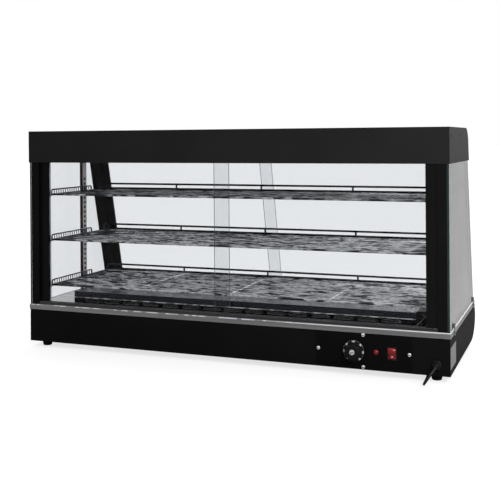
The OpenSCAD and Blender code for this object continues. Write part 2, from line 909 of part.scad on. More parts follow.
canopy_foot = slope_depth(canopy_z) + canopy_overhang;
curve_y = canopy_foot - canopy_r / cos(slope_deg) - (canopy_h - canopy_r) * tan(slope_deg);
curve_z = case_h - canopy_r;
curve_steps = 16;

function canopy_outline(inset, low) = concat(
    [[inset, low], [inset, case_h - inset]],
    [for (i = [0:curve_steps])
        let (a = 90 - i * (90 - slope_deg) / curve_steps)
        [curve_y + (canopy_r - inset) * cos(a), curve_z + (canopy_r - inset) * sin(a)]],
    [[canopy_foot - (low - canopy_z) * tan(slope_deg) - inset / cos(slope_deg), low]]
);

function canopy_screw_points() = [[44.5, case_h - 20.5], [195, case_h - 20.5]];

module canopy_shell() {
    color("#28292b") from_front() difference() {
        across([-half_w, half_w]) polygon(canopy_outline(0, canopy_z));
        across([-half_w + sheet, half_w - sheet]) polygon(canopy_outline(sheet, canopy_z - 1));
        for (p = canopy_screw_points()) rod_x([-half_w - 1, half_w + 1], p[0], p[1], 4.4);
    }
}

module canopy_liner() {
    color("#d9dadb") from_front() {
        rear = slope_depth(ceiling_z) - 8;
        out = half_w - sheet;
        block([-out, out], [20, rear], [ceiling_z, ceiling_z + 1]);
        for (y = [[20, 21], [rear - 1, rear]]) block([-out, out], y, [ceiling_z + 1, ceiling_z + 12]);
        for (s = [0, 1]) mirror([s, 0, 0]) difference() {
            block([out - 1, out], [20, 240], [ceiling_z, case_h - 12]);
            for (p = canopy_screw_points()) rod_x([out - 5, out + 5], p[0], p[1], 4.4);
        }
    }
}

module case_screws() {
    color("#2b2c2e") from_front() {
        for (s = [0, 1], p = canopy_screw_points()) mirror([s, 0, 0]) {
            rod_x([half_w, half_w + 1.6], p[0], p[1], 7);
            rod_x([half_w - 6, half_w], p[0], p[1], 4);
        }
        for (p = wiring_screw_points()) {
            rod_y(p[0], [wiring_y[0] - 1.6, wiring_y[0]], p[1], 6);
            rod_y(p[0], [wiring_y[0], wiring_y[0] + 6], p[1], 3);
        }
        for (p = foot_points()) {
            rod_z(p[0], p[1], [3, 6], 8.5);
            rod_z(p[0], p[1], [6, foot_h + 6], 4);
        }
    }
}

base_shell();
base_fascia();
base_bottom();
deck_pan();
deck_trim();
feet();
rating_label();
control_panel();
panel_screws();
thermostat_body();
thermostat_bulb();
dial_spindle();
dial();
dial_cap();
indicator_lens();
indicator_body();
rocker_housing();
rocker_button();
terminal_block();
wiring_loom();
cable_gland();
strain_relief();
power_cord();
cord_coil();
plug_body();
plug_pins();
heating_elements();
heater_cover();
wiring_cover();
lamp_tube();
lamp_holders();
post_front_left();
post_front_right();
post_rear_left();
post_rear_right();
side_glass_left();
side_glass_right();
glass_clips();
track_front_lower();
track_front_upper();
track_rear_lower();
track_rear_upper();
door_front_left();
door_front_right();
door_rear_left();
door_rear_right();
stile_front_left();
stile_front_right();
stile_rear_left();
stile_rear_right();
pilasters_front();
pilasters_rear();
shelf_clips();
shelf_top();
shelf_middle();
shelf_bottom();
canopy_shell();
canopy_liner();
case_screws();
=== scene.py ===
"""Looks of a countertop hot food display case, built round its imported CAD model. Metres."""

import json
import math

import bmesh
import bpy
from mathutils import Matrix, Vector


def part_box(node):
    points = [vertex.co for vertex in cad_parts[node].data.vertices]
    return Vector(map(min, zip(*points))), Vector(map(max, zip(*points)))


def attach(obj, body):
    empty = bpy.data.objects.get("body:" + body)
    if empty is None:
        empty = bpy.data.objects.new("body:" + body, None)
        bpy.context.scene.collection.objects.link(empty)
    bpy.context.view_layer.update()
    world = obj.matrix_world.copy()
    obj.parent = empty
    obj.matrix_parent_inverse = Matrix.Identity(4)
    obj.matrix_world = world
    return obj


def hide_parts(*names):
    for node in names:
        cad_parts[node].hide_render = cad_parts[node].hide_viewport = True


MM = 0.001
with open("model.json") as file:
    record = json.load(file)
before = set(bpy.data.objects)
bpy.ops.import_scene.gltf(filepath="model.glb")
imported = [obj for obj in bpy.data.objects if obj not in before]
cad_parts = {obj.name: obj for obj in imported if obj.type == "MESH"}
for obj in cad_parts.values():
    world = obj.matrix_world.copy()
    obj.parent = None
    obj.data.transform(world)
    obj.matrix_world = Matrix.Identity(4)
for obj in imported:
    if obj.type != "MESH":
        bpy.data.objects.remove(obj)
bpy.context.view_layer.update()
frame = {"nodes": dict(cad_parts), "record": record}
nodes = frame["nodes"]

# ---------- camera, at the photograph's viewing angle ----------

CAMERA_PLACE = Vector((0.9117, -2.3911, 0.5917))
CAMERA_TURN = math.radians(20.98)
CAMERA_ROLL = math.radians(-0.4)
CAMERA_LENS = 63.5
CAMERA_SHIFT = -0.2206


def make_camera():
    data = bpy.data.cameras.new("camera")
    data.lens = CAMERA_LENS
    data.sensor_width = 36
    data.shift_y = CAMERA_SHIFT
    camera = bpy.data.objects.new("camera", data)
    bpy.context.scene.collection.objects.link(camera)
    turn = Matrix.Rotation(CAMERA_TURN, 4, "Z") @ Matrix.Rotation(math.pi / 2, 4, "X")
    camera.matrix_world = Matrix.Translation(CAMERA_PLACE) @ turn @ Matrix.Rotation(CAMERA_ROLL, 4, "Z")
    bpy.context.scene.camera = camera


make_camera()

# ---------- mesh helpers ----------


def finish_mesh(name, bm, body, smooth=True):
    """Turns bm into an object that rides on body."""
    bmesh.ops.recalc_face_normals(bm, faces=bm.faces)
    mesh = bpy.data.meshes.new(name)
    bm.to_mesh(mesh)
    bm.free()
    if smooth:
        mesh.polygons.foreach_set("use_smooth", [True] * len(mesh.polygons))
    piece = bpy.data.objects.new(name, mesh)
    bpy.context.scene.collection.objects.link(piece)
    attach(piece, body)
    return piece


def sharpen(piece, angle):
    """Keeps edges sharper than angle crisp on a smooth-shaded piece."""
    bm = bmesh.new()
    bm.from_mesh(piece.data)
    for edge in bm.edges:
        if len(edge.link_faces) == 2 and edge.calc_face_angle(0) > math.radians(angle):
            edge.smooth = False
    bm.to_mesh(piece.data)
    bm.free()
    return piece


def add_tube(bm, path, radius, sides):
    """Adds a closed round tube along path to bm."""
    points = [Vector(p) for p in path]
    n = len(points)
    normal = None
    rings = []
    for i, p in enumerate(points):
        tangent = (points[min(i + 1, n - 1)] - points[max(i - 1, 0)]).normalized()
        if normal is None:
            normal = tangent.orthogonal().normalized()
        normal = (normal - tangent * normal.dot(tangent)).normalized()
        side = tangent.cross(normal)
        ring = []
        for k in range(sides):
            a = 2 * math.pi * k / sides
            ring.append(bm.verts.new(p + radius * (math.cos(a) * normal + math.sin(a) * side)))
        rings.append(ring)
    for a, b in zip(rings, rings[1:]):
        for k in range(sides):
            bm.faces.new((a[k], a[(k + 1) % sides], b[(k + 1) % sides], b[k]))
    bm.faces.new(reversed(rings[0]))
    bm.faces.new(rings[-1])


def bent(points, radius, steps=5):
    """The path through points, with each corner rounded to radius."""
    pts = [Vector(p) for p in points]
    out = [pts[0]]
    for a, b, c in zip(pts, pts[1:], pts[2:]):
        u, v = (a - b).normalized(), (c - b).normalized()
        half = u.angle(v) / 2
        reach = min(radius / math.tan(half), (a - b).length * 0.49, (c - b).length * 0.49)
        r = reach * math.tan(half)
        centre = b + (u + v).normalized() * (r / math.sin(half))
        start, end = (b + u * reach - centre).normalized(), (b + v * reach - centre).normalized()
        for k in range(steps + 1):
            out.append(centre + r * start.slerp(end, k / steps))
    return out + [pts[-1]]


def add_lathe(bm, profile, place, segments):
    """Adds a turned solid to bm: profile holds (radius, distance along the axis), and place maps +Z to the
    axis."""
    rings = []
    for r, t in profile:
        if r < 1e-7:
            rings.append([bm.verts.new(place @ Vector((0, 0, t)))])
            continue
        ring = []
        for k in range(segments):
            a = 2 * math.pi * k / segments
            ring.append(bm.verts.new(place @ Vector((r * math.cos(a), r * math.sin(a), t))))
        rings.append(ring)
    for a, b in zip(rings, rings[1:]):
        for k in range(segments):
            j = (k + 1) % segments
            corners = [a[k % len(a)], a[j % len(a)], b[j % len(b)], b[k % len(b)]]
            corners = list(dict.fromkeys(corners))
            if len(corners) > 2:
                bm.faces.new(corners)


def turned_place(node):
    """For a turned node that faces the operator: the place of its back, its radius and its depth."""
    low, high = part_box(node)
    place = towards_operator((low.x + high.x) / 2, high.y, (low.z + high.z) / 2)
    return place, (high.x - low.x) / 2, high.y - low.y


def towards_operator(x, y, z):
    """A place whose +Z points at the operator (-Y), at that point, with +Y up."""
    return Matrix.Translation((x, y, z)) @ Matrix.Rotation(math.pi / 2, 4, "X")


# ---------- materials ----------


# How far a normal leans where an edge starts to show, and where it shows in full
EDGE_LEAN = (0.02, 0.25)
GRAIN_DEPTH = 0.2 * MM
COAT_ROUGHNESS = 0.1


class Shader:
    """A material's node tree, with short ways to add what these materials share."""

    def __init__(self, name):
        self.material = bpy.data.materials.new(name)
        self.material.use_nodes = True
        self.tree = self.material.node_tree
        self.surface = self.tree.nodes["Principled BSDF"]
        self.output = self.tree.nodes["Material Output"]
        self.coordinates = self.node("ShaderNodeTexCoord")

    def node(self, kind, **values):
        made = self.tree.nodes.new(kind)
        for key, value in values.items():
            setattr(made, key, value)
        return made

    def link(self, a, b):
        self.tree.links.new(a, b)

    def math(self, operation, a, b=None):
        made = self.node("ShaderNodeMath", operation=operation)
        for socket, value in zip(made.inputs, (a, b)):
            if value is None:
                continue
            if isinstance(value, (int, float)):
                socket.default_value = value
            else:
                self.link(value, socket)
        return made.outputs[0]

    def noise(self, scale, detail=3.0, stretch=(1, 1, 1), swirl=0.0):
        mapping = self.node("ShaderNodeMapping")
        mapping.inputs["Scale"].default_value = stretch
        self.link(self.coordinates.outputs["Object"], mapping.inputs["Vector"])
        made = self.node("ShaderNodeTexNoise")
        made.inputs["Scale"].default_value = scale
        made.inputs["Detail"].default_value = detail
        made.inputs["Distortion"].default_value = swirl
        self.link(mapping.outputs[0], made.inputs["Vector"])
        return made.outputs["Fac"]

    def between(self, factor, low, high, start=0.3, end=0.7):
        made = self.node("ShaderNodeMapRange")
        self.link(factor, made.inputs["Value"])
        made.inputs["From Min"].default_value = start
        made.inputs["From Max"].default_value = end
        made.inputs["To Min"].default_value = low
        made.inputs["To Max"].default_value = high
        return made.outputs[0]

    def blend(self, factor, a, b):
        made = self.node("ShaderNodeMix", data_type="RGBA")
        self.link(factor, made.inputs[0])
        for socket, value in ((made.inputs[6], a), (made.inputs[7], b)):
            if isinstance(value, (tuple, list)):
                socket.default_value = (*value, 1)
            else:
                self.link(value, socket)
        return made.outputs[2]

    def normal(self):
        geometry = self.node("ShaderNodeNewGeometry")
        parts = self.node("ShaderNodeSeparateXYZ")
        self.link(geometry.outputs["Normal"], parts.inputs[0])
        return parts.outputs

    def position(self):
        parts = self.node("ShaderNodeSeparateXYZ")
        self.link(self.coordinates.outputs["Object"], parts.inputs[0])
        return parts.outputs

    def edges(self, radius):
        """1 along the crisp edges, 0 on the flats, from how far a rounded edge's normal would lean."""
        rounded = self.node("ShaderNodeBevel", samples=6)
        rounded.inputs["Radius"].default_value = radius
        geometry = self.node("ShaderNodeNewGeometry")
        lean = self.node("ShaderNodeVectorMath", operation="DOT_PRODUCT")
        self.link(rounded.outputs[0], lean.inputs[0])
        self.link(geometry.outputs["Normal"], lean.inputs[1])
        return self.between(self.math("SUBTRACT", 1.0, lean.outputs["Value"]), 0, 1, *EDGE_LEAN)

    def bump(self, height, strength, distance, bevel=0.0):
        made = self.node("ShaderNodeBump")
        made.inputs["Strength"].default_value = strength
        made.inputs["Distance"].default_value = distance
        self.link(height, made.inputs["Height"])
        if bevel:
            edge = self.node("ShaderNodeBevel", samples=4)
            edge.inputs["Radius"].default_value = bevel
            self.link(edge.outputs[0], made.inputs["Normal"])
        self.link(made.outputs[0], self.surface.inputs["Normal"])


def finish_of(name, dark, light, rough, metallic=0.0, patch=6.0, grain=900.0, bump=0.1, bevel=0.0006,
              specular=0.5, coat=0.0):
    """A solid finish: patches of two near colours, fine grain in its gloss and its bump, and softened
    edges."""
    s = Shader(name)
    patches = s.noise(patch, 4.0)
    grains = s.noise(grain)
    s.link(s.blend(s.between(patches, 0, 1), dark, light), s.surface.inputs["Base Color"])
    s.link(s.between(grains, *rough), s.surface.inputs["Roughness"])
    s.bump(grains, bump, GRAIN_DEPTH, bevel)
    s.surface.inputs["Metallic"].default_value = metallic
    s.surface.inputs["Specular IOR Level"].default_value = specular
    s.surface.inputs["Coat Weight"].default_value = coat
    s.surface.inputs["Coat Roughness"].default_value = COAT_ROUGHNESS
    return s.material


def grey(v):
    return (v, v, v * 1.02)


GLASS_HEAD_ON = 0.004         # share mirrored by a pane seen head on
MIRROR_POWER = 5.0            # how late the mirroring sets in as a pane is seen more from its side
GLASS_MOST_LOSS = 0.6
SMUDGES = (0.97, 1.03)


def glass_of(name, clear, fall, power, gloss, edge_axis, edge_colour):
    """Clear sheet glass: see-through and mirroring by the angle on its faces, deep green on its cut edges.
    Its clear colour falls off as it is seen more on its edge. edge_axis is +1 where its cut edges face
    along X, and -1 where its faces do."""
    s = Shader(name)
    facing = s.node("ShaderNodeLayerWeight")
    facing.inputs["Blend"].default_value = 0.5
    slant = facing.outputs["Facing"]
    smudge = s.between(s.noise(9.0, 2.0), *SMUDGES)
    slanted = s.math("MULTIPLY", s.math("POWER", slant, MIRROR_POWER), gloss)
    mirror = s.math("MULTIPLY", s.math("ADD", slanted, GLASS_HEAD_ON), smudge)
    loss = s.math("MINIMUM", s.math("MULTIPLY", s.math("POWER", slant, power), fall), GLASS_MOST_LOSS)
    see_through = s.node("ShaderNodeBsdfTransparent")
    s.link(s.blend(loss, clear, (0, 0, 0)), see_through.inputs["Color"])
    shine = s.node("ShaderNodeBsdfGlossy")
    shine.inputs["Roughness"].default_value = 0.0
    pane = s.node("ShaderNodeMixShader")
    s.link(mirror, pane.inputs[0])
    s.link(see_through.outputs[0], pane.inputs[1])
    s.link(shine.outputs[0], pane.inputs[2])
    along_x = s.math("GREATER_THAN", s.math("ABSOLUTE", s.normal()["X"]), 0.5)
    edges = along_x if edge_axis > 0 else s.math("SUBTRACT", 1.0, along_x)
    s.link(s.blend(s.between(s.noise(60.0), 0, 1), edge_colour, [c * 1.5 for c in edge_colour]),
           s.surface.inputs["Base Color"])
    s.surface.inputs["Roughness"].default_value = 0.12
    both = s.node("ShaderNodeMixShader")
    s.link(edges, both.inputs[0])
    s.link(pane.outputs[0], both.inputs[1])
    s.link(s.surface.outputs[0], both.inputs[2])
    s.link(both.outputs[0], s.output.inputs["Surface"])
    return s.material


BRUSH_SCALE = 160.0
PAINTED_SHEEN_FACING = (0.5, 0.9)
PAINTED_GLINT_TONE = 0.9
PAINTED_GLINT_BREAKS = 46.0            # scale of the gaps in the painted highlight line
PAINTED_GLINT_JOINS = 0.2              # stretch of X over which a broken line becomes whole
NOWHERE = 9.0                 # an X that is off the case


def brushed_of(name, dark, light, top, rough, stretch, edge_width=0.0022, band=None, whole_from=NOWHERE):
    """Brushed sheet steel: streaks along the grain, a painted sheen that gives what faces up its own lighter
    tone, and a painted highlight, a light, less metallic line, along its folded edges and over band, a range
    of heights. The line in band is broken up to whole_from in X."""
    s = Shader(name)
    streaks = s.noise(BRUSH_SCALE, 5.0, stretch)
    sides = s.blend(s.between(streaks, 0, 1), dark, light)
    # painted sheen: what faces up takes the lighter top tone, as if lit from above
    painted_top_sheen = s.between(s.normal()["Z"], 0, 1, *PAINTED_SHEEN_FACING)
    tone = s.blend(painted_top_sheen, sides, s.blend(s.between(streaks, 0, 1), [c * 0.85 for c in top], top))
    # painted highlight: the edge mask and the band give a light, less metallic line where light would catch
    painted_edge_glint = s.edges(edge_width)
    if band:
        at = s.position()
        over = s.math("GREATER_THAN", at["Z"], band[0])
        under = s.math("LESS_THAN", at["Z"], band[1])
        breaks = s.between(s.noise(PAINTED_GLINT_BREAKS, 1.0, (1, 0.02, 0.02)), 0.15, 1, 0.42, 0.56)
        whole = s.between(at["X"], 0, 1, whole_from - PAINTED_GLINT_JOINS, whole_from)
        breaks = s.math("MAXIMUM", breaks, whole)
        painted_edge_glint = s.math("MAXIMUM", painted_edge_glint, s.math("MULTIPLY", breaks, s.math("MULTIPLY", over, under)))
    s.link(s.blend(painted_edge_glint, tone, grey(PAINTED_GLINT_TONE)), s.surface.inputs["Base Color"])
    s.link(s.math("SUBTRACT", 1.0, s.math("MULTIPLY", painted_edge_glint, PAINTED_GLINT_TONE)), s.surface.inputs["Metallic"])
    s.link(s.between(streaks, *rough), s.surface.inputs["Roughness"])
    s.bump(streaks, 0.06, 0.0002, 0.0012)
    return s.material


# Painted light and shade on the wires, as shifts in how much of a wire is bright: the first two are the
# shifts, over the range of the last two
PAINTED_LIGHT_UP = (0.02, -0.04, 0.17, 0.44)
PAINTED_LIGHT_RIGHT = (-0.01, 0.045, -0.5, 0.5)
# painted shade: the wires darken towards the posts at their ends
PAINTED_SHADE_AT_ENDS = (0, 0.16, 0.46, 0.556)
CHROME_ROUGH = (0.08, 0.2)


def chrome_of(name, dark, light, scale, stretch, metal=1.0, spread=0.24, ends=False):
    """Bright plated wire with broken, streaky reflections that are painted into its colour. With ends,
    painted light makes it brighter low down and to the right, and painted shade makes it darker by the posts
    at its ends."""
    s = Shader(name)
    streaks = s.noise(scale, 2.0, stretch, swirl=1.2)
    if ends:
        at = s.position()
        streaks = s.math("ADD", streaks, s.between(at["Z"], *PAINTED_LIGHT_UP))
        streaks = s.math("ADD", streaks, s.between(at["X"], *PAINTED_LIGHT_RIGHT))
        across = s.math("ABSOLUTE", at["X"])
        streaks = s.math("SUBTRACT", streaks, s.between(across, *PAINTED_SHADE_AT_ENDS))
    # painted reflections: the streaks pick between the dark and the light colour
    painted_glints = s.between(streaks, 0, 1, 0.5 - spread / 2, 0.5 + spread / 2)
    painted_glints = s.math("MULTIPLY", painted_glints, s.between(s.noise(150.0, 2.0, (0.5, 1, 1)), 0.55, 1, 0.4, 0.6))
    s.link(s.blend(painted_glints, dark, light), s.surface.inputs["Base Color"])
    grains = s.noise(600.0, 2.0)
    s.link(s.between(grains, *CHROME_ROUGH), s.surface.inputs["Roughness"])
    s.bump(grains, 0.03, 0.0001)
    s.surface.inputs["Metallic"].default_value = metal
    return s.material


def upright_of(name, front=None):
    """Galvanized channel, dark red on the flange that faces the operator where front is given."""
    s = Shader(name)
    grains = s.noise(260.0, 3.0, (1, 1, 0.02))
    tone = s.blend(s.between(s.noise(6.0, 4.0), 0, 1), grey(0.60), grey(0.72))
    if front:
        towards = s.math("GREATER_THAN", s.math("ABSOLUTE", s.normal()["Y"]), 0.7)
        tone = s.blend(towards, tone, front)
    s.link(tone, s.surface.inputs["Base Color"])
    s.surface.inputs["Metallic"].default_value = 0.25
    s.link(s.between(grains, 0.3, 0.42), s.surface.inputs["Roughness"])
    s.bump(grains, 0.05, 0.0002, 0.0006)
    return s.material


LABEL_ROW = 5.2 * MM
ROW_BLANK = 0.72              # share of a row that is blank


def label_of(name):
    """A grey foil plate with faint ruled rows, and no words."""
    s = Shader(name)
    row = s.math("FRACT", s.math("MULTIPLY", s.position()["Z"], 1 / LABEL_ROW))
    ruled = s.math("GREATER_THAN", row, ROW_BLANK)
    broken = s.between(s.noise(190.0, 2.0, (1, 1, 0.1)), 0, 1, 0.42, 0.5)
    paper = s.blend(s.between(s.noise(40.0), 0, 1), grey(0.20), grey(0.235))
    s.link(s.blend(s.math("MULTIPLY", ruled, broken), paper, grey(0.10)), s.surface.inputs["Base Color"])
    s.surface.inputs["Roughness"].default_value = 0.35
    s.surface.inputs["Specular IOR Level"].default_value = 0.3
    return s.material


DECK_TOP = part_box("deck_pan")[1].z
# Heights of the heater cover's ledge, where cover_steel paints its highlight line
COVER_LEDGE = (DECK_TOP + 15.2 * MM, DECK_TOP + 17.2 * MM)
MATERIALS = {
    "black_steel": finish_of("black_steel", grey(0.0052), grey(0.0066), (0.5, 0.62), bump=0.12,
                             specular=0.05),
    "canopy_paint": finish_of("canopy_paint", grey(0.0135), grey(0.0168), (0.46, 0.58), bump=0.12,
                              specular=0.09),
    # The brushed steels below carry a painted sheen on what faces up (top) and a painted highlight line on
    # their edges; lip_steel's band paints that highlight along the deck lip's top edge
    "stainless": brushed_of("stainless", grey(0.24), grey(0.38), grey(0.50), (0.18, 0.3), (0.02, 1, 1)),
    "lip_steel": brushed_of("lip_steel", grey(0.27), grey(0.42), grey(0.9), (0.18, 0.3), (0.02, 1, 1), 0.0004,
                            (DECK_TOP - 2.2 * MM, DECK_TOP + MM), 0.25),
    "post_shaded": finish_of("post_shaded", grey(0.0020), grey(0.0030), (0.5, 0.62), bump=0.12,
                             specular=0.02),
    "liner_sheet": finish_of("liner_sheet", grey(0.62), grey(0.68), (0.4, 0.5)),
    "panel_black": finish_of("panel_black", grey(0.0030), grey(0.0038), (0.34, 0.42), bump=0.05,
                             specular=0.06),
    "screw_steel": finish_of("screw_steel", grey(0.86), grey(0.95), (0.25, 0.4), metallic=0.35, patch=300.0,
                             grain=2500.0, bevel=0.0),
    # dark_screw paints the shade in the screw slots and the dial cap's cross; the cap's rim line also uses it
    "dark_screw": finish_of("dark_screw", grey(0.012), grey(0.02), (0.3, 0.45), patch=300.0, grain=2500.0),
    "rubber_black": finish_of("rubber_black", grey(0.006), grey(0.010), (0.6, 0.75), patch=60.0, bump=0.2,
                              specular=0.2),
    "cord_rubber": finish_of("cord_rubber", grey(0.008), grey(0.012), (0.45, 0.6), patch=80.0, bump=0.15,
                             bevel=0.0, specular=0.3),
    "label_grey": label_of("label_grey"),
    "knob_black": finish_of("knob_black", grey(0.0045), grey(0.006), (0.3, 0.42), patch=120.0, bump=0.1,
                            specular=0.16),
    "lens_red": finish_of("lens_red", (0.15, 0.002, 0.002), (0.22, 0.004, 0.004), (0.08, 0.14), patch=200.0,
                          bump=0.02, coat=0.3),
    "rocker_red": finish_of("rocker_red", (0.20, 0.004, 0.005), (0.29, 0.007, 0.009), (0.16, 0.26),
                            patch=90.0, bump=0.03, coat=0.2),
    "black_plastic": finish_of("black_plastic", grey(0.006), grey(0.009), (0.28, 0.4), patch=90.0, bump=0.06,
                               specular=0.3),
    "body_beige": finish_of("body_beige", (0.52, 0.47, 0.38), (0.60, 0.55, 0.46), (0.4, 0.5), patch=60.0),
    "wire_brown": finish_of("wire_brown", (0.16, 0.07, 0.03), (0.22, 0.10, 0.05), (0.35, 0.5), patch=80.0),
    "capillary_steel": finish_of("capillary_steel", grey(0.5), grey(0.6), (0.2, 0.3), metallic=1.0,
                                 patch=100.0, bevel=0.0),
    "element_steel": finish_of("element_steel", (0.20, 0.17, 0.14), (0.32, 0.29, 0.26), (0.35, 0.5),
                               metallic=1.0, patch=14.0),
    # cover_steel: its near-black navy sides are a painted dark reflection on the stainless heater cover, and
    # its ledge band is a painted highlight
    "cover_steel": brushed_of("cover_steel", (0.018, 0.019, 0.027), (0.045, 0.047, 0.06), grey(0.55),
                              (0.12, 0.24), (0.03, 1, 1), 0.0008, COVER_LEDGE),
    "lamp_white": finish_of("lamp_white", grey(0.82), grey(0.86), (0.2, 0.3), patch=20.0, bump=0.01),
    "holder_white": finish_of("holder_white", grey(0.72), grey(0.77), (0.3, 0.4), patch=60.0),
    "side_glass": glass_of("side_glass", (0.909, 0.914, 0.920), 0.58, 4.0, 0.74, -1, (0.004, 0.020, 0.022)),
    "door_glass": glass_of("door_glass", (0.909, 0.914, 0.920), 0.5, 4.0, 0.9, 1, (0.035, 0.06, 0.062)),
    "track_grey": brushed_of("track_grey", grey(0.06), grey(0.10), grey(0.16), (0.3, 0.42), (0.02, 1, 1),
                             0.0004),
    "clip_steel": finish_of("clip_steel", grey(0.30), grey(0.38), (0.25, 0.38), metallic=1.0, patch=90.0),
    "pilaster_steel": upright_of("pilaster_steel"),
    "pilaster_dark_red_front": upright_of("pilaster_dark_red_front", (0.05, 0.004, 0.010)),
    # shelf_chrome and rail_chrome paint their reflections as streaks between a dark and a light colour;
    # shelf_chrome also paints light and shade by place
    "shelf_chrome": chrome_of("shelf_chrome", (0.02, 0.021, 0.032), (0.97, 0.97, 0.98), 40.0, (0.4, 1.5, 1),
                              metal=0.4, spread=0.14, ends=True),
    "rail_chrome": chrome_of("rail_chrome", (0.010, 0.011, 0.017), (0.12, 0.12, 0.14), 26.0, (1, 1, 1)),
    "stile_black": finish_of("stile_black", grey(0.0035), grey(0.005), (0.35, 0.45), bump=0.08,
                             specular=0.12),
    "pin_brass": finish_of("pin_brass", (0.62, 0.47, 0.24), (0.70, 0.54, 0.29), (0.16, 0.26), metallic=1.0,
                           patch=200.0, bevel=0.0),
    "mark_white": finish_of("mark_white", grey(0.75), grey(0.85), (0.4, 0.5), patch=200.0, bump=0.0,
                            bevel=0.0),
}


def dress(piece, slot, look=None):
    """Gives a new piece the material of its record slot, or of look where one is given."""
    piece.data.materials.clear()
    piece.data.materials.append(MATERIALS[look or slot])
    return piece


LOOKS = {"pilasters_rear": "pilaster_dark_red_front", "deck_trim": "lip_steel", "post_rear_left": "post_shaded",
         "post_rear_right": "post_shaded"}


def dress_cad():
    for row in frame["record"]["subparts"]:
        node = nodes[row["node"]]
        node.data.materials.clear()
        node.data.materials.append(MATERIALS[LOOKS.get(row["node"], row["material_slot"])])


dress_cad()

# ---------- mains lead ----------

CORD_D = 6 * MM
LIP_Y = -238 * MM
# The route from the tip of the strain relief to the coil: X, depth behind the deck lip, height
CORD_ROUTE = [
    (0.567, -0.024, 0.043), (0.567, -0.029, 0.043), (0.566, -0.0382, 0.0415), (0.5631, -0.046, 0.0371),
    (0.5588, -0.0512, 0.0307), (0.5537, -0.053, 0.023), (0.5486, -0.0512, 0.0154), (0.5443, -0.046, 0.0089),
    (0.5415, -0.0382, 0.0045), (0.5405, -0.029, 0.003), (0.5395, -0.012, 0.003), (0.538, 0.020, 0.003),
    (0.533, 0.080, 0.003), (0.526, 0.150, 0.003), (0.518, 0.220, 0.003), (0.509, 0.290, 0.003),
    (0.500, 0.360, 0.003), (0.491, 0.430, 0.003), (0.483, 0.490, 0.003), (0.4785, 0.526, 0.003),
    (0.477, 0.556, 0.003),
]
TAIL_ROUTE = [
    (0.440, 0.593, 0.009), (0.430, 0.5933, 0.0096), (0.420, 0.594, 0.011), (0.410, 0.595, 0.013),
    (0.400, 0.596, 0.0155), (0.392, 0.597, 0.0174), (0.386, 0.597, 0.018),
]
COIL_CENTRE = (0.440, 0.556)
COIL_OUTER, COIL_INNER = 37 * MM, 31 * MM
COIL_LOW, COIL_HIGH = 3 * MM, 9 * MM
# Degrees along the coil at which it starts inward, rises, starts outward again and ends
COIL_INNER_START, COIL_RISE, COIL_INNER_END, COIL_END = 300, 660, 1020, 1530
COIL_EASE = 60
CURVE_STEP = 5 * MM


def smooth_curve(points, step):
    """Catmull-Rom curve through points, sampled about every step."""
    pts = [Vector(p) for p in points]
    out = []
    for i in range(len(pts) - 1):
        a, b = pts[max(i - 1, 0)], pts[i]
        c, d = pts[i + 1], pts[min(i + 2, len(pts) - 1)]
        n = max(1, round((c - b).length / step))
        for k in range(n):
            t = k / n
            out.append(b + t * (c - a) / 2 + t * t * (2 * a - 5 * b + 4 * c - d) / 2
                       + t ** 3 * (3 * b - a - 3 * c + d) / 2)
    return out + [pts[-1]]


def ease(x):
    x = min(max(x, 0), 1)
    return x * x * (3 - 2 * x)


def coil_points(step=7.5):
    """Turns seen from above, anticlockwise: outer low, inner low, inner high, outer high."""
    out = []
    angle = step
    while angle < COIL_END:
        inward = ease((angle - COIL_INNER_START) / COIL_EASE) - ease((angle - COIL_INNER_END) / COIL_EASE)
        r = COIL_OUTER + (COIL_INNER - COIL_OUTER) * inward
        z = COIL_LOW + (COIL_HIGH - COIL_LOW) * ease((angle - COIL_RISE) / COIL_EASE)
        a = math.radians(angle)
        out.append(Vector((COIL_CENTRE[0] + r * math.cos(a), COIL_CENTRE[1] + r * math.sin(a), z)))
        angle += step
    return out


def make_cord():
    to_row = Vector((0, LIP_Y, 0))
    path = smooth_curve(CORD_ROUTE, CURVE_STEP) + coil_points() + smooth_curve(TAIL_ROUTE, CURVE_STEP)
    path = [p + to_row for p in path]
    bm = bmesh.new()
    add_tube(bm, path, CORD_D / 2, sides=16)
    cord = finish_mesh("mains_cord", bm, "case")
    dress(cord, "cord_rubber")
    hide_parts("power_cord", "cord_coil")
    return cord, path


